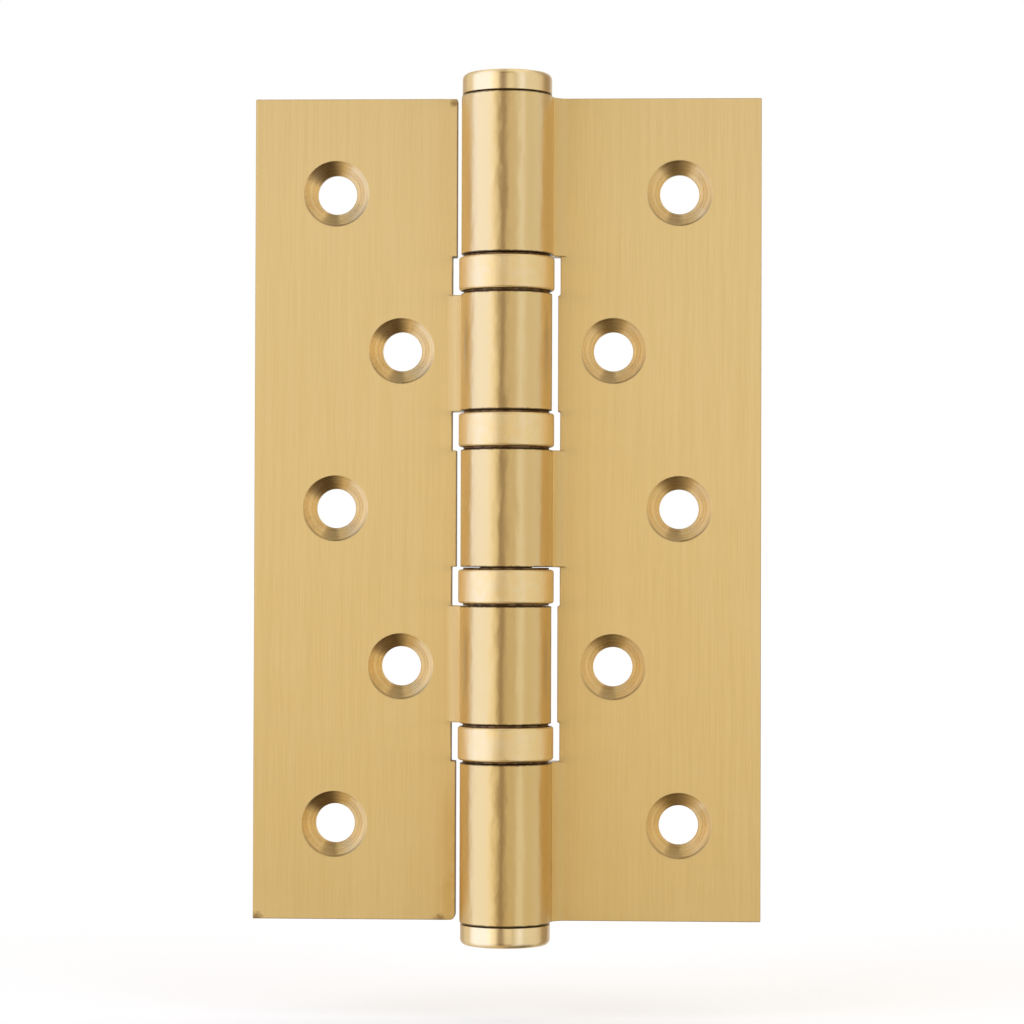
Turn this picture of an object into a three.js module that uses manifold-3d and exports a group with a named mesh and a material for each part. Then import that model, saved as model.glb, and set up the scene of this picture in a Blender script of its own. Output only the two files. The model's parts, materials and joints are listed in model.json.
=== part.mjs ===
// A ball-bearing butt hinge of satin brass, lying open flat with its pin upright.
// Millimetres, +Z up along the pin. The origin is on the pin's axis, half way up.
// -Y is the countersunk side. The jamb leaf reaches along +X and the door leaf along -X.

import * as THREE from 'three';
import Module from 'manifold-3d';
import { mergeVertices } from 'three/addons/utils/BufferGeometryUtils.js';

// Leaves.
const leafLength = 127;          // along the pin, 5 inches
const leafReach = 39.2;          // from the pin's axis to a leaf's free edge
const leafThickness = 3;
const leafFace = 2.5;            // from the pin's axis back to the countersunk faces
const leafBack = leafFace + leafThickness;
const opposedEdge = 7.85;        // where a leaf stops beside the other leaf's knuckles
const jambSlotEdge = 8.2;        // and where each leaf stops beside a bearing
const doorSlotEdge = 8.55;
const doorCornerRadius = 0.8;    // the door leaf's inner bottom corner

// Knuckles: five barrels in line, with a bearing in each of the four slots between them.
const knuckleRadius = 7;
const boreRadius = 4.1;
const slotPitch = 24;            // from one bearing's middle to the next
const slotHeight = 6;
const frontRoot = 2.4;           // hollow where the barrel meets the countersunk face
const backRoot = 1.5;            // and where it meets the back
const webReach = 10;             // how far a knuckle's root runs into its leaf

// Screw holes: countersunk at 90 degrees, staggered in two columns on each leaf.
const outerColumn = 26.6;
const innerColumn = 16.4;
const holePitch = 24.4;
const holeRadius = 3.05;
const countersinkRadius = 5.1;

// Pin and tips.
const pinRadius = 4;
const pinLength = 114;
const pinChamfer = 0.5;
const tipRadius = 6.9;
const tipHeight = 3.15;
const tipRounding = 0.9;
const tipSeam = 0.2;             // open joint between a tip and its knuckle
const stemRadius = 3.95;
const stemLength = 6;

// Bearings, measured from each bearing's own middle.
const sleeveRadius = 7.35;
const sleeveBore = 6.7;
const sleeveHeight = 5.2;
const sleeveRounding = 0.45;
const raceOuter = 6.6;
const raceInner = 4.15;
const raceClearance = 0.1;       // between a race and its knuckle
const raceFace = 0.75;           // from the middle to the face that holds the balls
const grooveRadius = 1.06;
const ballRadius = 1;
const ballPitchRadius = 5.4;
const ballsInBearing = 8;
const cageInner = 4.2;
const cageOuter = 6.55;
const cageThickness = 1;
const pocketRadius = 1.08;

// How finely round shapes are cut into flats.
const barrelSteps = 64;
const rootSteps = 8;
const boreSteps = 32;
const holeSteps = 48;
const ringSteps = 48;
const innerRingSteps = 24;
const pocketSteps = 8;
const roundingSteps = 4;
const sleeveSteps = 4;
const grooveSteps = 3;

const finish = {
  leaf: { color: 0xd9bb7c, roughness: 0.38, metalness: 1 },
  sleeve: { color: 0xd8b878, roughness: 0.3, metalness: 1 },
  tip: { color: 0xddbb78, roughness: 0.22, metalness: 1 },
  steel: { color: 0xb9bcc0, roughness: 0.3, metalness: 1 },
  cage: { color: 0xe8e2d2, roughness: 0.55, metalness: 0 },
};

const wasm = await Module();
wasm.setup();

function solidFrom(geometry) {
  geometry.deleteAttribute('normal');
  geometry.deleteAttribute('uv');
  const merged = mergeVertices(geometry);
  return new wasm.Manifold(new wasm.Mesh({
    numProp: 3,
    vertProperties: merged.attributes.position.array,
    triVerts: Uint32Array.from(merged.index.array),
  }));
}

function geometryFrom(solid) {
  const mesh = solid.getMesh();
  const geometry = new THREE.BufferGeometry();
  geometry.setAttribute('position', new THREE.BufferAttribute(mesh.vertProperties, 3));
  geometry.setIndex(new THREE.BufferAttribute(mesh.triVerts, 1));
  geometry.computeVertexNormals();
  return geometry;
}

function named(name, geometry, look) {
  const mesh = new THREE.Mesh(geometry, new THREE.MeshStandardMaterial(look));
  mesh.name = name;
  return mesh;
}

function point(x, y) {
  return new THREE.Vector2(x, y);
}

// Points along an arc, both ends included, with the angles in radians.
function arc(x, y, radius, from, to, steps) {
  return Array.from({ length: steps + 1 }, (_, step) => {
    const angle = from + (to - from) * step / steps;
    return point(x + radius * Math.cos(angle), y + radius * Math.sin(angle));
  });
}

function circle(x, y, radius, steps) {
  return arc(x, y, radius, 0, 2 * Math.PI, steps).slice(0, -1);
}

function mirrored(points, side) {
  return points.map((each) => point(each.x * side, each.y));
}

// A profile of radius and height, turned about the Z axis.
function turned(profile, steps) {
  return new THREE.LatheGeometry(profile, steps).rotateX(Math.PI / 2);
}

// A ring's profile closes on its own first point.
function turnedRing(profile, steps) {
  return turned([...profile, profile[0]], steps);
}

// The rows down the hinge: knuckles at even places and bearing slots at odd ones.
function barrelRows() {
  const rows = [];
  let top = leafLength / 2;
  for (let slot = 0; slot < 4; slot += 1) {
    const slotTop = (1.5 - slot) * slotPitch + slotHeight / 2;
    rows.push({ top, bottom: slotTop });
    rows.push({ top: slotTop, bottom: slotTop - slotHeight });
    top = slotTop - slotHeight;
  }
  rows.push({ top, bottom: -leafLength / 2 });
  return rows;
}

// The flat of a leaf, seen from its face: a rectangle whose inner edge steps clear of the
// other leaf's knuckles and of the bearings.
function leafOutline(ownsKnuckle, slotEdge, cornerRadius) {
  const points = [point(leafReach, leafLength / 2)];
  for (const [place, row] of barrelRows().entries()) {
    const opposed = place % 2 === 0 && !ownsKnuckle(place / 2);
    const edge = opposed ? opposedEdge : slotEdge;
    points.push(point(edge, row.top), point(edge, row.bottom));
  }
  if (cornerRadius > 0) {
    const corner = points.pop();
    const x = corner.x + cornerRadius;
    const y = corner.y + cornerRadius;
    points.push(...arc(x, y, cornerRadius, Math.PI, 1.5 * Math.PI, roundingSteps));
  }
  points.push(point(leafReach, -leafLength / 2));
  return points;
}

// A knuckle and its root, seen along the pin: the barrel, a hollow root on each side of the
// leaf, and a short run of the leaf itself.
function knuckleOutline() {
  const frontY = leafFace - frontRoot;
  const front = point(Math.sqrt((knuckleRadius + frontRoot) ** 2 - frontY ** 2), frontY);
  const backY = leafBack + backRoot;
  const back = point(Math.sqrt((knuckleRadius + backRoot) ** 2 - backY ** 2), backY);
  const fromAngle = front.angle();
  const toAngle = back.angle() - 2 * Math.PI;
  return [
    point(webReach, leafFace),
    ...arc(front.x, front.y, frontRoot, Math.PI / 2, fromAngle + Math.PI, rootSteps),
    ...arc(0, 0, knuckleRadius, fromAngle, toAngle, barrelSteps).slice(1, -1),
    ...arc(back.x, back.y, backRoot, back.angle() + Math.PI, 1.5 * Math.PI, rootSteps),
    point(webReach, leafBack),
  ];
}

function plateSolid(side, outline) {
  const shape = new THREE.Shape(mirrored(outline, side));
  const plate = new THREE.ExtrudeGeometry(shape, { depth: leafThickness, bevelEnabled: false });
  return solidFrom(plate.rotateX(Math.PI / 2).translate(0, leafBack, 0));
}

function knuckleSolid(side, row) {
  const shape = new THREE.Shape(mirrored(knuckleOutline(), side));
  shape.holes.push(new THREE.Path(circle(0, 0, boreRadius, boreSteps)));
  const depth = row.top - row.bottom;
  const knuckle = new THREE.ExtrudeGeometry(shape, { depth, bevelEnabled: false });
  return solidFrom(knuckle.translate(0, 0, row.bottom));
}

// The cutter stands 1 mm proud of both faces of the leaf.
function screwHoleSolid(x, z) {
  const proud = 1;
  const sink = countersinkRadius - holeRadius;
  const cutter = new THREE.LatheGeometry([
    point(0, leafFace - proud),
    point(countersinkRadius + proud, leafFace - proud),
    point(holeRadius, leafFace + sink),
    point(holeRadius, leafBack + proud),
    point(0, leafBack + proud),
  ], holeSteps);
  return solidFrom(cutter.translate(x, 0, z));
}

function leaf(name, side, ownsKnuckle, slotEdge, cornerRadius) {
  const rows = barrelRows();
  let solid = plateSolid(side, leafOutline(ownsKnuckle, slotEdge, cornerRadius));
  for (let place = 0; place < rows.length; place += 2) {
    if (ownsKnuckle(place / 2)) {
      solid = solid.add(knuckleSolid(side, rows[place]));
    }
  }
  for (let row = -2; row <= 2; row += 1) {
    const column = row % 2 === 0 ? outerColumn : innerColumn;
    solid = solid.subtract(screwHoleSolid(side * column, row * holePitch));
  }
  return named(name, geometryFrom(solid), finish.leaf);
}

function hingePin() {
  const half = pinLength / 2;
  const shaft = turned([
    point(0, -half),
    point(pinRadius - pinChamfer, -half),
    point(pinRadius, -half + pinChamfer),
    point(pinRadius, half - pinChamfer),
    point(pinRadius - pinChamfer, half),
    point(0, half),
  ], boreSteps);
  return named('hinge_pin', shaft, finish.steel);
}

// A flat button on a stem. It points up from the knuckle's end face at height 0.
function tipGeometry() {
  const top = tipSeam + tipHeight;
  const rim = tipRadius - tipRounding;
  return turned([
    point(0, -stemLength),
    point(stemRadius, -stemLength),
    point(stemRadius, tipSeam),
    point(tipRadius, tipSeam),
    ...arc(rim, top - tipRounding, tipRounding, 0, Math.PI / 2, roundingSteps),
    point(0, top),
  ], ringSteps);
}

function tip(name, end) {
  const mesh = named(name, tipGeometry(), finish.tip);
  mesh.position.z = end * leafLength / 2;
  mesh.rotation.x = end > 0 ? 0 : Math.PI;
  return mesh;
}

function sleeveGeometry() {
  const half = sleeveHeight / 2;
  const x = sleeveRadius - sleeveRounding;
  const y = half - sleeveRounding;
  return turnedRing([
    point(sleeveBore, -half),
    ...arc(x, -y, sleeveRounding, -Math.PI / 2, 0, sleeveSteps),
    ...arc(x, y, sleeveRounding, 0, Math.PI / 2, sleeveSteps),
    point(sleeveBore, half),
  ], ringSteps);
}

// The lower race: a thick washer with a round groove on top for the balls.
function raceGeometry() {
  const bottom = -(slotHeight / 2 - raceClearance);
  const halfAngle = Math.acos(raceFace / grooveRadius);
  const down = -Math.PI / 2;
  return turnedRing([
    point(raceInner, bottom),
    point(raceOuter, bottom),
    point(raceOuter, -raceFace),
    ...arc(ballPitchRadius, 0, grooveRadius, down + halfAngle, down - halfAngle, grooveSteps),
    point(raceInner, -raceFace),
  ], innerRingSteps);
}

function ballAngle(ball) {
  return 2 * Math.PI * ball / ballsInBearing;
}

function cageGeometry() {
  const shape = new THREE.Shape(circle(0, 0, cageOuter, innerRingSteps));
  shape.holes.push(new THREE.Path(circle(0, 0, cageInner, innerRingSteps)));
  for (let ball = 0; ball < ballsInBearing; ball += 1) {
    const x = ballPitchRadius * Math.cos(ballAngle(ball));
    const y = ballPitchRadius * Math.sin(ballAngle(ball));
    shape.holes.push(new THREE.Path(circle(x, y, pocketRadius, pocketSteps)));
  }
  const cage = new THREE.ExtrudeGeometry(shape, { depth: cageThickness, bevelEnabled: false });
  return cage.translate(0, 0, -cageThickness / 2);
}

// One thrust bearing about its own middle: a sleeve round two races, a cage and eight balls.
function bearing(number) {
  const group = new THREE.Group();
  const prefix = `bearing_${number}`;
  const upperRace = named(`${prefix}_upper_race`, raceGeometry(), finish.steel);
  upperRace.rotation.x = Math.PI;
  group.add(
    named(`${prefix}_sleeve`, sleeveGeometry(), finish.sleeve),
    upperRace,
    named(`${prefix}_lower_race`, raceGeometry(), finish.steel),
    named(`${prefix}_cage`, cageGeometry(), finish.cage),
  );
  for (let ball = 0; ball < ballsInBearing; ball += 1) {
    const sphere = new THREE.IcosahedronGeometry(ballRadius, 1);
    const mesh = named(`${prefix}_ball_${ball + 1}`, sphere, finish.steel);
    mesh.position.x = ballPitchRadius * Math.cos(ballAngle(ball));
    mesh.position.y = ballPitchRadius * Math.sin(ballAngle(ball));
    group.add(mesh);
  }
  group.position.z = (2.5 - number) * slotPitch;
  return group;
}

const hinge = new THREE.Group();
hinge.add(
  leaf('jamb_leaf', 1, (knuckle) => knuckle % 2 === 0, jambSlotEdge, 0),
  leaf('door_leaf', -1, (knuckle) => knuckle % 2 === 1, doorSlotEdge, doorCornerRadius),
  hingePin(),
  tip('top_tip', 1),
  tip('bottom_tip', -1),
);
for (let number = 1; number <= 4; number += 1) {
  hinge.add(bearing(number));
}

export default hinge;
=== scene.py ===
"""The looks of a ball-bearing butt hinge in satin brass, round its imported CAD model.

Everything is in metres, +Z up along the pin, with the origin on the pin's axis half way up.
The countersunk faces look along -Y.
"""
import json
import math

import bpy
from mathutils import Matrix, Vector


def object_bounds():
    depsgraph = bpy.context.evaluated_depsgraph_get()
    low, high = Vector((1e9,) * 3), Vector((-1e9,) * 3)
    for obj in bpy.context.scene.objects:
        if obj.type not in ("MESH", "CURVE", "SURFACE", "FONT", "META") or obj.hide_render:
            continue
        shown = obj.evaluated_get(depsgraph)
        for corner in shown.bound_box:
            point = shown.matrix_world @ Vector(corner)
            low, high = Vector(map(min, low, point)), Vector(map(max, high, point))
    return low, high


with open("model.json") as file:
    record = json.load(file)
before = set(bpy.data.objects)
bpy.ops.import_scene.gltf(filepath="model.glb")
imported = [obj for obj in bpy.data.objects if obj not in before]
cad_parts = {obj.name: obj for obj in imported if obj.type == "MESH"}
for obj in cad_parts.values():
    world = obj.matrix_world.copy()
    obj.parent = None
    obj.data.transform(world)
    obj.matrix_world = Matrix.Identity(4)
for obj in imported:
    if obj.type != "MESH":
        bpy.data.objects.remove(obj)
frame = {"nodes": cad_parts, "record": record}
cad_low, cad_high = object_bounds()

MM = 0.001

# The leaf's sizes that its finish follows.
KNUCKLE_RADIUS = 7.0 * MM
HOLE_PITCH = 24.4 * MM
OUTER_COLUMN = 26.6 * MM
INNER_COLUMN = 16.4 * MM
COUNTERSINK_RADIUS = 5.1 * MM
WEB_REACH = 9.8 * MM
SLOT_REACH = 8.6 * MM
LEAF_FRONT = 2.5 * MM
LEAF_BACK = 5.5 * MM
LEAF_LENGTH = 127 * MM
BEARING_PITCH = 24 * MM
SLOT_HEIGHT = 6 * MM

# Brass, as linear colour: the clean metal, the bottoms of its brush lines, the paler tumbled
# metal, the barrel's sides painted paler as a painted reflection, the tips and their sides
# painted darker as a painted shade, and the fresh countersinks.
BRASS = (0.96, 0.73, 0.34)
BRASS_DEEP = (0.86, 0.64, 0.26)
PALE_BRASS = (0.97, 0.78, 0.43)
PAINTED_FLANK_SHEEN = (0.96, 0.79, 0.49)
TIP_BRASS = (1.0, 0.81, 0.46)
TIP_FLANK_PAINTED_SHADE = (0.72, 0.51, 0.25)
FRESH_CUT = (1.0, 0.81, 0.45)
FRESH_CUT_DEEP = (0.84, 0.62, 0.29)

# The brass is darkened towards the bottom and by patina, both by multiplying it. Tarnish,
# which also stands in for painted shade and painted reflection, and stains cover it.
DARKER_LOW = (0.93, 0.89, 0.77)
PATINA = (0.84, 0.70, 0.36)
SHADE_AND_TARNISH = (0.10, 0.052, 0.016)
STAIN = (0.26, 0.125, 0.03)

# Brown stains on the leaf to the left of the pin: how far right, how high, and their radius.
STAINS = (
    (-8.3 * MM, 62.8 * MM, 1.0 * MM),
    (-38.6 * MM, -63.3 * MM, 1.4 * MM),
    (-10.2 * MM, -63.4 * MM, 1.3 * MM),
)

# How much clear lacquer lies over the brass, and how rough it is.
LACQUER = 0.4
LACQUER_ROUGHNESS = 0.35

# The pin's direction, tilted a little, since a stretched highlight can't point along the normal.
ALONG_PIN = (0.03, 0.02, 1.0)

# How far the brushed highlights are stretched: on leaves and tips, and on the sleeves.
BRUSHED = 0.95
TUMBLED = 0.25


class Graph:
    """A node tree, with short calls for the nodes that the finishes and the light share."""

    def __init__(self, tree):
        self.tree = tree
        self.tree.nodes.clear()

    def node(self, kind, **settings):
        made = self.tree.nodes.new(kind)
        for key, value in settings.items():
            setattr(made, key, value)
        return made

    def link(self, source, target):
        self.tree.links.new(source, target)

    def put(self, value, target):
        """Links a socket, or sets a number, tuple or colour."""
        if isinstance(value, bpy.types.NodeSocket):
            self.link(value, target)
        elif target.type == "RGBA" and len(value) == 3:
            target.default_value = (*value, 1.0)
        else:
            target.default_value = value

    def math(self, operation, a, b=0.0):
        made = self.node("ShaderNodeMath", operation=operation)
        self.put(a, made.inputs[0])
        self.put(b, made.inputs[1])
        return made.outputs[0]

    def vector(self, x, y, z):
        made = self.node("ShaderNodeCombineXYZ")
        for value, target in zip((x, y, z), made.inputs):
            self.put(value, target)
        return made.outputs[0]

    def split(self, source):
        made = self.node("ShaderNodeSeparateXYZ")
        self.link(source, made.inputs[0])
        return made.outputs[0], made.outputs[1], made.outputs[2]

    def step(self, value, low, high):
        """0 below low, 1 above high and smooth between; low above high falls instead."""
        made = self.node("ShaderNodeMapRange", interpolation_type="SMOOTHSTEP")
        self.put(value, made.inputs["Value"])
        rising = low < high
        made.inputs["From Min"].default_value = min(low, high)
        made.inputs["From Max"].default_value = max(low, high)
        made.inputs["To Min"].default_value = 0.0 if rising else 1.0
        made.inputs["To Max"].default_value = 1.0 if rising else 0.0
        return made.outputs[0]

    def noise(self, vector, detail=2.0):
        made = self.node("ShaderNodeTexNoise", noise_dimensions="3D")
        self.put(vector, made.inputs["Vector"])
        made.inputs["Scale"].default_value = 1.0
        made.inputs["Detail"].default_value = detail
        return made.outputs["Fac"]

    def colour(self, factor, a, b, blend="MIX"):
        made = self.node("ShaderNodeMix", data_type="RGBA", blend_type=blend)
        self.put(factor, made.inputs[0])
        self.put(a, made.inputs[6])
        self.put(b, made.inputs[7])
        return made.outputs[2]

    def number(self, factor, a, b):
        made = self.node("ShaderNodeMix", data_type="FLOAT")
        self.put(factor, made.inputs[0])
        self.put(a, made.inputs[2])
        self.put(b, made.inputs[3])
        return made.outputs[0]

    def between(self, factor, a, b):
        """Vector a where factor is 0 and vector b where it is 1."""
        made = self.node("ShaderNodeMix", data_type="VECTOR")
        self.put(factor, made.inputs[0])
        self.put(a, made.inputs[4])
        self.put(b, made.inputs[5])
        return made.outputs[1]

    def product(self, *factors):
        """All the factors multiplied."""
        total = factors[0]
        for factor in factors[1:]:
            total = self.math("MULTIPLY", total, factor)
        return total

    def either(self, *masks):
        """The strongest of several masks."""
        total = masks[0]
        for mask in masks[1:]:
            total = self.math("MAXIMUM", total, mask)
        return total

    def length(self, a, b):
        """How long the vector from 0 to a, b is."""
        return self.math("SQRT", self.math("ADD", self.product(a, a), self.product(b, b)))

    def within(self, angle, middle, half, soft):
        """1 within half of the middle and 0 beyond, with sides soft degrees wide."""
        aside = self.math("ABSOLUTE", self.math("SUBTRACT", angle, middle))
        return self.step(aside, half + soft / 2, half - soft / 2)

    def around(self, x, y):
        """Distance round the pin, in metres on a knuckle, for lines that run round it."""
        return self.product(self.math("ARCTAN2", x, y), KNUCKLE_RADIUS)

    def specks(self, place, size, detail=2.0):
        """Noise with spots about size metres wide, at place, which is x, y and z."""
        scaled = (self.math("DIVIDE", part, size) for part in place)
        return self.noise(self.vector(*scaled), detail=detail)

    def streaks(self, across, along, fine, long, seed):
        """Brush lines: noise that changes over fine metres across and long metres along."""
        across = self.math("DIVIDE", across, fine)
        along = self.math("DIVIDE", along, long)
        return self.noise(self.vector(across, along, seed))


class Finish(Graph):
    """A material's node tree round one shader."""

    def __init__(self, name):
        self.material = bpy.data.materials.new(name)
        self.material.use_nodes = True
        super().__init__(self.material.node_tree)
        self.shader = self.node("ShaderNodeBsdfPrincipled")
        output = self.node("ShaderNodeOutputMaterial")
        self.link(self.shader.outputs["BSDF"], output.inputs["Surface"])
        self.coordinates = self.node("ShaderNodeTexCoord")

    def set(self, **inputs):
        """Sets the shader's own inputs, with underscores for the spaces in their names."""
        for key, value in inputs.items():
            self.put(value, self.shader.inputs[key.replace("_", " ")])

    def position(self):
        """x, y and z in the object's own axes, in metres."""
        return self.split(self.coordinates.outputs["Object"])

    def normal(self):
        """The way the surface faces, as x, y and z in the object's own axes."""
        return self.split(self.coordinates.outputs["Normal"])

    def bump(self, *layers):
        """Bumps made of layers, each a height from 0 to 1 and how many metres high it is."""
        total = 0.0
        for height, size in layers:
            total = self.math("ADD", total, self.math("MULTIPLY", height, size))
        made = self.node("ShaderNodeBump")
        made.inputs["Distance"].default_value = 1.0
        self.link(total, made.inputs["Height"])
        return made.outputs["Normal"]

    def grain(self, tangent):
        """Points the stretched highlight along tangent, a vector in the object's own axes."""
        turn = self.node(
            "ShaderNodeVectorTransform",
            vector_type="VECTOR", convert_from="OBJECT", convert_to="WORLD",
        )
        self.put(tangent, turn.inputs[0])
        self.link(turn.outputs[0], self.shader.inputs["Tangent"])


class LeafFinish(Finish):
    """A leaf's finish, with the distances, masks and brush lines that its functions share."""

    def __init__(self, name):
        super().__init__(name)
        self.x, self.y, self.z = self.position()
        self.sideways, self.forward, upward = self.normal()
        self.out = self.math("ABSOLUTE", self.x)
        self.facing = self.math("ABSOLUTE", self.forward)
        self.endways = self.math("ABSOLUTE", upward)
        self.find_hole()
        self.mask()
        self.brush()

    def find_hole(self):
        """How far right of, above and from the nearest screw hole each point lies."""
        row = self.math("ROUND", self.math("DIVIDE", self.z, HOLE_PITCH))
        odd = self.math("PINGPONG", row, 1.0)
        column = self.number(odd, OUTER_COLUMN, INNER_COLUMN)
        beyond = self.math("SUBTRACT", self.out, column)
        self.right = self.product(beyond, self.math("SIGN", self.x))
        self.up = self.math("SUBTRACT", self.z, self.product(row, HOLE_PITCH))
        self.from_hole = self.length(self.right, self.up)

    def mask(self):
        """Masks, from 0 to 1, for the barrel, the countersinks and the flat rest."""
        from_pin = self.length(self.x, self.y)
        self.barrel = self.step(from_pin, KNUCKLE_RADIUS + 0.3 * MM, KNUCKLE_RADIUS + 0.02 * MM)
        self.sink = self.product(
            self.step(self.from_hole, COUNTERSINK_RADIUS + 0.04 * MM, COUNTERSINK_RADIUS - 0.04 * MM),
            self.step(self.y, LEAF_BACK - 0.2 * MM, LEAF_BACK - 0.4 * MM),
        )
        self.flat = self.math("SUBTRACT", 1.0, self.either(self.barrel, self.sink))

    def brush(self):
        """Lines brushed up the leaf, rolled round the barrel and turned in the countersinks."""
        round_pin = self.around(self.x, self.y)
        round_hole = self.math("ARCTAN2", self.right, self.up)
        self.brushed = self.streaks(self.x, self.z, 0.13 * MM, 9 * MM, 0.0)
        self.broad = self.streaks(self.x, self.z, 0.8 * MM, 40 * MM, 4.0)
        self.rolled = self.streaks(self.z, round_pin, 0.12 * MM, 9 * MM, 8.0)
        self.turned = self.streaks(self.from_hole, round_hole, 0.2 * MM, 2.5, 12.0)
        beside_holes = self.number(self.barrel, self.brushed, self.rolled)
        self.lines = self.number(self.sink, beside_holes, self.turned)


def rim_line_and_slot_shade(g):
    """A dark hairline round the leaf's rim, and painted shade on the sawn walls of the slots."""
    rim = g.product(
        g.step(g.facing, 0.97, 0.75), g.step(g.facing, 0.15, 0.4),
        g.step(g.out, WEB_REACH - 0.2 * MM, WEB_REACH),
        0.55,
    )
    height = g.math("ABSOLUTE", g.z)
    slots = g.product(
        g.step(g.facing, 0.6, 0.3),
        g.step(g.y, LEAF_FRONT, LEAF_FRONT + 0.1 * MM),
        g.step(g.out, SLOT_REACH + 0.2 * MM, SLOT_REACH),
        g.step(height, LEAF_LENGTH / 2 - 0.2 * MM, LEAF_LENGTH / 2 - 0.4 * MM),
    )
    return g.product(g.flat, g.either(rim, slots))


def seam_grime_and_shade(g):
    """The knuckles' ends darkened, and a ragged brown line round the barrel beside them: painted
    shade in the gaps between parts, with grime.
    """
    height = g.math("ABSOLUTE", g.z)
    below_top = g.math("MINIMUM", height, BEARING_PITCH * 2)
    inside = g.math("PINGPONG", below_top, BEARING_PITCH / 2)
    seam = BEARING_PITCH / 2 - SLOT_HEIGHT / 2
    to_seam = g.math("ABSOLUTE", g.math("SUBTRACT", inside, seam))
    to_end = g.math("SUBTRACT", LEAF_LENGTH / 2, height)
    near = g.math("MINIMUM", to_seam, to_end)
    ragged = g.specks((g.x, g.y, g.z), 0.7 * MM, detail=3.0)
    worn = g.math("SUBTRACT", near, g.math("MULTIPLY", ragged, 0.30 * MM))
    line = g.step(worn, 0.10 * MM, -0.05 * MM)
    return g.product(g.barrel, g.either(g.step(g.endways, 0.75, 0.95), line))


def share_toward(g, across, upward):
    """About 1 where a point lies just that way from its hole's middle, and less elsewhere."""
    along = g.math("ADD", g.product(g.right, across), g.product(g.up, upward))
    return g.math("DIVIDE", along, g.from_hole)


def countersink_painted_reflection_and_lip(g):
    """A wide brown patch at the top of each countersink and a thin one below, both a painted
    reflection of dark surroundings, and its lower rim darkened.
    """
    lean = g.number(g.step(g.x, -MM, MM), -0.45, -0.10)
    wide = g.product(g.step(share_toward(g, lean, 0.93), 0.74, 1.02), 0.97)
    thin = g.product(g.step(share_toward(g, -0.2, -0.98), 0.93, 1.0), 0.55)
    lip = g.product(
        g.step(g.from_hole, COUNTERSINK_RADIUS - 0.45 * MM, COUNTERSINK_RADIUS - 0.15 * MM),
        g.step(g.up, 1 * MM, -4 * MM),
        0.5,
    )
    return g.product(g.sink, g.either(lip, wide, thin))


def stains(g):
    """The brown stains near three corners of the door leaf, with ragged edges."""
    ragged = g.noise(
        g.vector(g.math("DIVIDE", g.x, 0.5 * MM), g.math("DIVIDE", g.z, 0.5 * MM), 51.0),
        detail=3.0,
    )
    spots = []
    for across, height, radius in STAINS:
        away = g.length(g.math("SUBTRACT", g.x, across), g.math("SUBTRACT", g.z, height))
        away = g.math("ADD", away, g.product(ragged, radius))
        spots.append(g.step(away, 1.4 * radius, 0.6 * radius))
    return g.product(g.either(*spots), 0.7)


def patina(g, cloud):
    """Where the door leaf has darkened, low down beside the lowest knuckle."""
    return g.product(
        g.step(g.x, -11.5 * MM, -8 * MM), g.step(g.x, -6 * MM, -7 * MM),
        g.step(g.z, -36 * MM, -60 * MM), g.step(cloud, 0.2, 0.65),
    )


def leaf_colour(g):
    """Brass shaded by its lines, then darkened towards the bottom, stained, and darkened with tarnish
    and painted shade.
    """
    cloud = g.specks((g.x, g.y, g.z), 7 * MM, detail=3.0)
    shade = g.number(g.product(g.flat, 0.35), g.lines, g.broad)
    colour = g.colour(g.step(shade, 0.32, 0.68), BRASS_DEEP, BRASS)
    colour = g.colour(g.number(g.barrel, 0.3, 0.85), colour, BRASS)
    colour = g.colour(g.product(g.barrel, 0.1), colour, PALE_BRASS)
    # The barrel's sides are painted paler: a painted reflection of the softboxes.
    painted_flank = g.product(g.barrel, g.step(g.out, 3.6 * MM, 6.8 * MM))
    colour = g.colour(painted_flank, colour, PAINTED_FLANK_SHEEN)
    cut = g.colour(g.step(g.turned, 0.35, 0.65), FRESH_CUT_DEEP, FRESH_CUT)
    colour = g.colour(g.sink, colour, cut)
    lower_down = g.product(g.step(g.z, 70 * MM, -80 * MM), g.step(cloud, -0.6, 0.7))
    colour = g.colour(lower_down, colour, DARKER_LOW, blend="MULTIPLY")
    colour = g.colour(patina(g, cloud), colour, PATINA, blend="MULTIPLY")
    colour = g.colour(stains(g), colour, STAIN)
    # Dark tarnish laid over: painted shade in slots, seams and gaps, and painted reflection in the
    # countersinks.
    painted_shade_and_dirt = g.either(rim_line_and_slot_shade(g), seam_grime_and_shade(g), countersink_painted_reflection_and_lip(g))
    return g.colour(g.product(painted_shade_and_dirt, 0.85), colour, SHADE_AND_TARNISH)


def leaf_grain(g):
    """The way highlights stretch: across the leaf, along the barrel, down the countersinks."""
    flat = g.vector(g.math("SUBTRACT", 0.02, g.forward), g.sideways, 0.0)
    sink = g.vector(
        g.math("DIVIDE", g.right, g.from_hole), -1.0,
        g.math("DIVIDE", g.up, g.from_hole),
    )
    return g.between(g.sink, g.between(g.barrel, flat, ALONG_PIN), sink)


def leaf_bumps(g):
    """Brush lines everywhere, and shallow dents and pits on the barrel."""
    dents = g.noise(
        g.vector(
            g.math("DIVIDE", g.x, 2.2 * MM), g.math("DIVIDE", g.y, 2.2 * MM),
            g.math("DIVIDE", g.z, 5 * MM),
        ),
        detail=1.0,
    )
    pits = g.specks((g.x, g.y, g.z), 1.1 * MM, detail=3.0)
    line_height = g.number(g.sink, g.number(g.barrel, 0.006 * MM, 0.003 * MM), 0.02 * MM)
    return g.bump(
        (g.lines, line_height),
        (dents, g.product(g.barrel, 0.09 * MM)),
        (pits, g.product(g.barrel, 0.04 * MM)),
    )


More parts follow.
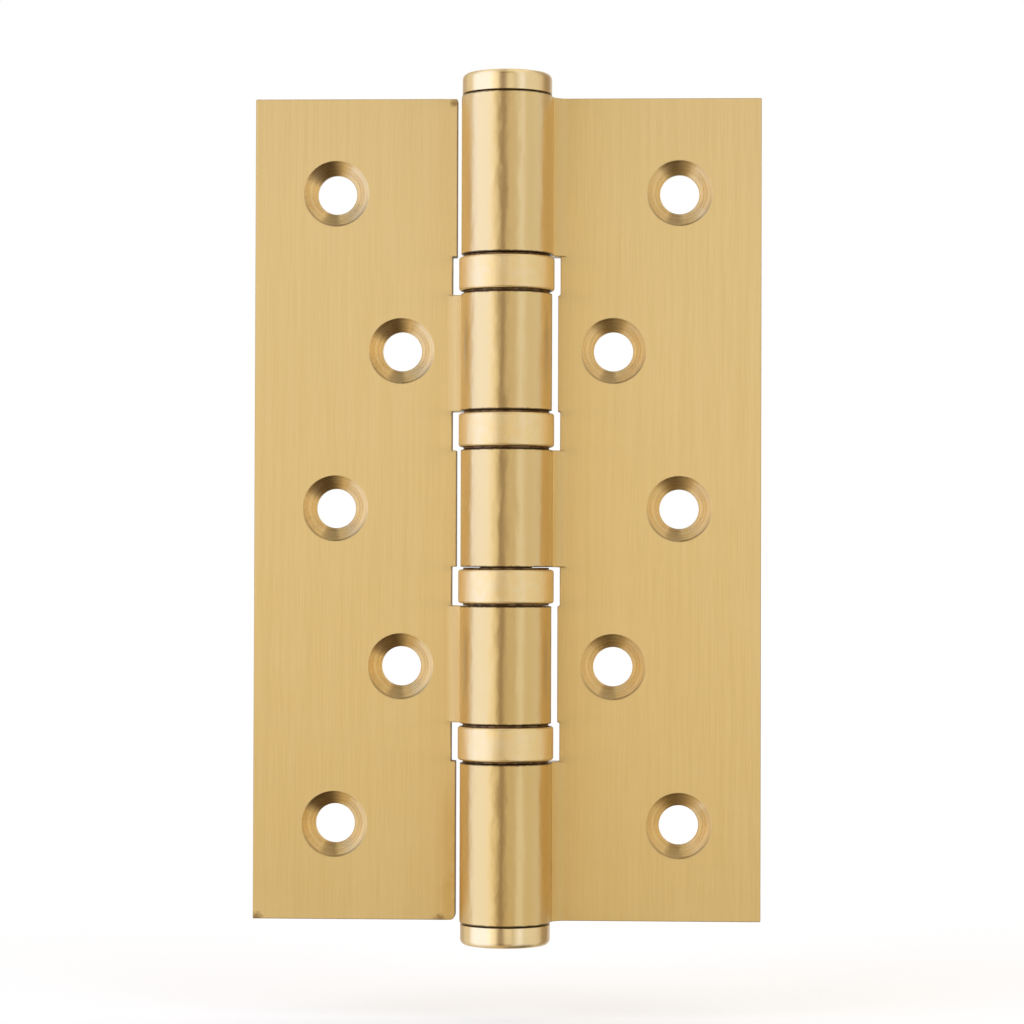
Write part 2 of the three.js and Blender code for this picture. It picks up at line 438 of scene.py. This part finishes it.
def leaf_brass():
    """Satin brass: leaves brushed along the pin, knuckles round it, countersinks turned."""
    g = LeafFinish("leaf_brass")
    flat = g.number(g.brushed, 0.42, 0.52)
    barrel = g.number(g.rolled, 0.38, 0.43)
    sink = g.number(g.turned, 0.24, 0.32)
    curved = g.number(g.sink, barrel, sink)
    g.grain(leaf_grain(g))
    g.set(
        Base_Color=leaf_colour(g), Metallic=1.0, Anisotropic=BRUSHED,
        Roughness=g.number(g.either(g.barrel, g.sink), flat, curved),
        Normal=leaf_bumps(g),
        Coat_Weight=LACQUER, Coat_Roughness=LACQUER_ROUGHNESS,
    )
    return g.material


def sleeve_brass():
    """Tumbled brass: softer and smoother than the leaves, faintly mottled, its sides painted paler as
    a painted reflection and painted shade on its ends and in its bore.
    """
    g = Finish("sleeve_brass")
    x, y, z = g.position()
    mottle = g.specks((x, y, z), 1.6 * MM, detail=4.0)
    lines = g.streaks(z, g.around(x, y), 0.15 * MM, 5 * MM, 21.0)
    colour = g.colour(g.step(mottle, 0.3, 0.7), BRASS, PALE_BRASS)
    # The sleeve's sides are painted paler: a painted reflection of the softboxes.
    painted_flank = g.step(g.math("ABSOLUTE", x), 4.8 * MM, 6.9 * MM)
    colour = g.colour(painted_flank, colour, PAINTED_FLANK_SHEEN)
    # Painted shade on the sleeve's end faces and in its bore, where it meets the knuckles.
    end_shade = g.step(g.math("ABSOLUTE", g.normal()[2]), 0.93, 0.99)
    colour = g.colour(g.product(end_shade, 0.9), colour, SHADE_AND_TARNISH)
    bore_shade = g.step(g.length(x, y), KNUCKLE_RADIUS, KNUCKLE_RADIUS - 0.2 * MM)
    colour = g.colour(bore_shade, colour, SHADE_AND_TARNISH)
    g.grain(ALONG_PIN)
    g.set(
        Base_Color=colour, Metallic=1.0, Anisotropic=TUMBLED,
        Roughness=g.number(mottle, 0.36, 0.48),
        Normal=g.bump((mottle, 0.08 * MM), (lines, 0.008 * MM)),
        Coat_Weight=LACQUER, Coat_Roughness=LACQUER_ROUGHNESS,
    )
    return g.material


def tip_brass():
    """Fine turned brass, brighter than the rest, with its sides painted darker as a painted shade."""
    g = Finish("tip_brass")
    x, y, z = g.position()
    top = g.step(g.math("ABSOLUTE", g.normal()[2]), 0.8, 0.9)
    side = g.streaks(z, g.around(x, y), 0.12 * MM, 12 * MM, 31.0)
    face = g.streaks(g.length(x, y), g.math("ARCTAN2", x, y), 0.14 * MM, 2.0, 35.0)
    lines = g.number(top, side, face)
    spots = g.specks((x, y, z), 0.5 * MM)
    colour = g.colour(g.step(spots, 0.3, 0.68), PALE_BRASS, TIP_BRASS)
    # The tip's sides are painted darker: a painted reflection of the dark surroundings.
    painted_flank = g.either(g.step(x, 4.0 * MM, 7.4 * MM), g.step(x, -5.6 * MM, -7.2 * MM))
    colour = g.colour(g.product(painted_flank, g.math("SUBTRACT", 1.0, top)), colour, TIP_FLANK_PAINTED_SHADE)
    g.grain(g.between(top, ALONG_PIN, g.vector(x, y, 0.02 * MM)))
    g.set(
        Base_Color=colour, Metallic=1.0, Anisotropic=BRUSHED,
        Roughness=g.number(lines, 0.26, 0.33),
        Normal=g.bump((lines, 0.003 * MM)),
        Coat_Weight=LACQUER, Coat_Roughness=LACQUER_ROUGHNESS,
    )
    return g.material


def bearing_steel():
    """Ground steel, browned by a film of grease and painted much darker still as painted shade in the
    seams.
    """
    g = Finish("bearing_steel")
    x, y, z = g.position()
    grease = g.specks((x, y, z), 1.2 * MM)
    lines = g.streaks(z, g.around(x, y), 0.08 * MM, 6 * MM, 41.0)
    colour = g.colour(g.step(grease, 0.4, 0.6), (0.09, 0.05, 0.02), (0.20, 0.125, 0.06))
    g.set(
        Base_Color=colour, Metallic=1.0,
        Roughness=g.number(grease, 0.3, 0.45),
        Normal=g.bump((lines, 0.002 * MM)),
    )
    return g.material


def cage_nylon():
    """Moulded nylon, pale and waxy."""
    g = Finish("cage_nylon")
    cloud = g.specks(g.position(), 0.8 * MM)
    g.set(
        Base_Color=g.colour(cloud, (0.62, 0.57, 0.45), (0.74, 0.70, 0.60)),
        Roughness=g.number(cloud, 0.45, 0.6),
        Normal=g.bump((cloud, 0.01 * MM)),
    )
    return g.material


def smooth_group():
    """Geometry nodes that shade faces smooth and keep every edge over 35 degrees sharp."""
    tree = bpy.data.node_groups.new("smooth_faces", "GeometryNodeTree")
    for way in ("INPUT", "OUTPUT"):
        tree.interface.new_socket("Geometry", in_out=way, socket_type="NodeSocketGeometry")
    source = tree.nodes.new("NodeGroupInput")
    faces = tree.nodes.new("GeometryNodeSetShadeSmooth")
    angle = tree.nodes.new("GeometryNodeInputMeshEdgeAngle")
    blunt = tree.nodes.new("ShaderNodeMath")
    blunt.operation = "LESS_THAN"
    blunt.inputs[1].default_value = math.radians(35)
    edges = tree.nodes.new("GeometryNodeSetShadeSmooth")
    edges.domain = "EDGE"
    target = tree.nodes.new("NodeGroupOutput")
    tree.links.new(source.outputs[0], faces.inputs["Geometry"])
    tree.links.new(faces.outputs[0], edges.inputs["Geometry"])
    tree.links.new(angle.outputs["Unsigned Angle"], blunt.inputs[0])
    tree.links.new(blunt.outputs[0], edges.inputs["Shade Smooth"])
    tree.links.new(edges.outputs[0], target.inputs[0])
    return tree


def soften(node, width, smooth):
    """Rounds a CAD node's sharp edges and shades it smooth, by modifiers only."""
    weld = node.modifiers.new("weld", "WELD")
    weld.merge_threshold = 0.001 * MM
    flats = node.modifiers.new("flats", "DECIMATE")
    flats.decimate_type = "DISSOLVE"
    flats.angle_limit = math.radians(0.2)
    if width > 0:
        edges = node.modifiers.new("edges", "BEVEL")
        edges.width = width
        edges.segments = 3
        edges.limit_method = "ANGLE"
        edges.angle_limit = math.radians(50)
        edges.loop_slide = False
        edges.use_clamp_overlap = False
    node.modifiers.new("smooth", "NODES").node_group = smooth
    weighted = node.modifiers.new("weighted", "WEIGHTED_NORMAL")
    weighted.mode = "FACE_AREA"
    weighted.keep_sharp = True


def finish_nodes():
    """Gives each CAD node its slot's material and its edge rounding."""
    slot_of = {part["node"]: part["material_slot"] for part in frame["record"]["subparts"]}
    makers = {
        "leaf_brass": leaf_brass, "sleeve_brass": sleeve_brass, "tip_brass": tip_brass,
        "bearing_steel": bearing_steel, "cage_nylon": cage_nylon,
    }
    rounding = {
        "leaf_brass": 0.15 * MM, "sleeve_brass": 0.1 * MM, "tip_brass": 0.12 * MM,
        "bearing_steel": 0.05 * MM, "cage_nylon": 0.03 * MM,
    }
    materials = {slot: make() for slot, make in makers.items()}
    smooth = smooth_group()
    for name, node in frame["nodes"].items():
        slot = slot_of[name]
        for place in node.material_slots:
            place.material = materials[slot]
        soften(node, 0.0 if "_ball_" in name else rounding[slot], smooth)


def towards(azimuth, elevation):
    """A unit vector out from the hinge, in radians: azimuth 0 in front and positive right."""
    return Vector((
        math.sin(azimuth) * math.cos(elevation),
        -math.cos(azimuth) * math.cos(elevation),
        math.sin(elevation),
    ))


def camera():
    """A long lens a little below the middle, looking very slightly up and from the right."""
    azimuth, elevation, roll = (math.radians(angle) for angle in (2.40, -0.92, 0.17))
    distance = 0.488
    target = Vector((0.90 * MM, 0.0, -0.55 * MM))
    back = towards(azimuth, elevation)
    right = Vector((math.cos(azimuth), math.sin(azimuth), 0.0))
    up = back.cross(right)
    across = right * math.cos(roll) + up * math.sin(roll)
    upright = up * math.cos(roll) - right * math.sin(roll)
    data = bpy.data.cameras.new("camera")
    data.lens = 111.6
    data.sensor_width = 36.0
    data.clip_start = 0.01
    data.clip_end = 30.0
    made = bpy.data.objects.new("camera", data)
    turn = Matrix((across, upright, back)).transposed().to_4x4()
    made.matrix_world = Matrix.Translation(target + back * distance) @ turn
    bpy.context.scene.collection.objects.link(made)
    bpy.context.scene.camera = made


# The tent's own light, where nothing stands in front of it.
TENT = (0.80, 0.76, 0.69)
# What stands in front of it, as seen from the hinge, in degrees: its middle's azimuth (0 in
# front, positive right) and half its width, its elevation and half its height, how softly
# its sides fade, how well it hides what is behind it, and its light.
PANELS = (
    ("left softbox", -66, 31, 0, 180, 16, 1.0, (1.15, 1.24, 1.70)),
    ("grey card", 8, 15, 0, 180, 14, 1.0, (0.43, 0.36, 0.27)),
    ("dark stand", -9, 11, 0, 180, 12, 1.0, (0.10, 0.04, 0.0)),
    ("right softbox", 42, 7, 0, 180, 12, 1.0, (0.98, 1.01, 1.20)),
    ("left drape", -142, 14, 0, 180, 12, 1.0, (0.62, 0.55, 0.45)),
    ("right drape", 128, 18, 0, 180, 16, 1.0, (0.45, 0.38, 0.29)),
    ("front window", -12, 32, 1.5, 11, 6, 1.0, (1.42, 1.33, 1.19)),
    ("thin pole", -9, 8, 0, 180, 8, 0.55, (0.12, 0.04, 0.0)),
)
# Above and below: the elevation where each starts, the one where it is full, and its light.
LAYERS = (
    ("ceiling", 45, 65, (1.00, 0.93, 0.82)),
    ("floor", -40, -60, (0.66, 0.55, 0.40)),
)
# Dark things above and below: azimuth, elevation, half width, fade and light.
SPOTS = (
    ("lamp mount", -90, 82, 9, 8, (0.06, 0.035, 0.02)),
    ("table edge", 90, -68, 24, 14, (0.03, 0.018, 0.01)),
)


def tent_light(g, direction):
    """The light from each direction: the tent, with everything in front of it laid over."""
    x, y, z = g.split(direction)
    azimuth = g.math("DEGREES", g.math("ARCTAN2", x, g.math("MULTIPLY", y, -1.0)))
    elevation = g.math("DEGREES", g.math("ARCSINE", z))
    light = TENT
    for _, across, half_across, level, half_level, soft, strength, colour in PANELS:
        seen = g.product(
            g.within(azimuth, across, half_across, soft),
            g.within(elevation, level, half_level, soft),
            strength,
        )
        light = g.colour(seen, light, colour)
    for _, start, full, colour in LAYERS:
        light = g.colour(g.step(elevation, start, full), light, colour)
    for _, across, level, half, soft, colour in SPOTS:
        turn = g.node("ShaderNodeVectorMath", operation="DOT_PRODUCT")
        g.link(direction, turn.inputs[0])
        turn.inputs[1].default_value = towards(math.radians(across), math.radians(level))
        away = g.math("DEGREES", g.math("ARCCOSINE", turn.outputs["Value"]))
        light = g.colour(g.within(away, 0.0, half, soft), light, colour)
    return light


def light_tent():
    """A world of soft panels round the hinge. What shows behind it is plain white."""
    world = bpy.data.worlds.new("light_tent")
    world.use_nodes = True
    g = Graph(world.node_tree)
    tent = g.node("ShaderNodeBackground")
    g.put(tent_light(g, g.node("ShaderNodeTexCoord").outputs["Generated"]), tent.inputs["Color"])
    white = g.node("ShaderNodeBackground")
    g.put((1.0, 1.0, 1.0), white.inputs["Color"])
    shown = g.node("ShaderNodeMixShader")
    g.link(g.node("ShaderNodeLightPath").outputs["Is Camera Ray"], shown.inputs[0])
    g.link(tent.outputs[0], shown.inputs[1])
    g.link(white.outputs[0], shown.inputs[2])
    g.link(shown.outputs[0], g.node("ShaderNodeOutputWorld").inputs["Surface"])
    bpy.context.scene.world = world
    bpy.context.scene.view_settings.view_transform = "Standard"


def studio_floor():
    """A plain white floor just below the hinge. It lights nothing."""
    reach = 12.0
    gap = 12 * MM
    height = cad_low.z - gap
    corners = [(-reach, -reach), (reach, -reach), (reach, reach), (-reach, reach)]
    mesh = bpy.data.meshes.new("floor")
    mesh.from_pydata([(x, y, height) for x, y in corners], [], [(0, 1, 2, 3)])
    g = Finish("floor_white")
    cloud = g.noise(g.vector(*g.position()), detail=1.0)
    g.set(
        Base_Color=g.colour(cloud, (0.88, 0.88, 0.88), (0.90, 0.90, 0.90)),
        Roughness=0.9, Specular_IOR_Level=0.0,
        Emission_Color=(0.88, 0.94, 1.0), Emission_Strength=0.34,
    )
    mesh.materials.append(g.material)
    floor = bpy.data.objects.new("floor", mesh)
    floor.visible_glossy = False
    floor.visible_diffuse = False
    bpy.context.scene.collection.objects.link(floor)


camera()
light_tent()
studio_floor()
finish_nodes()
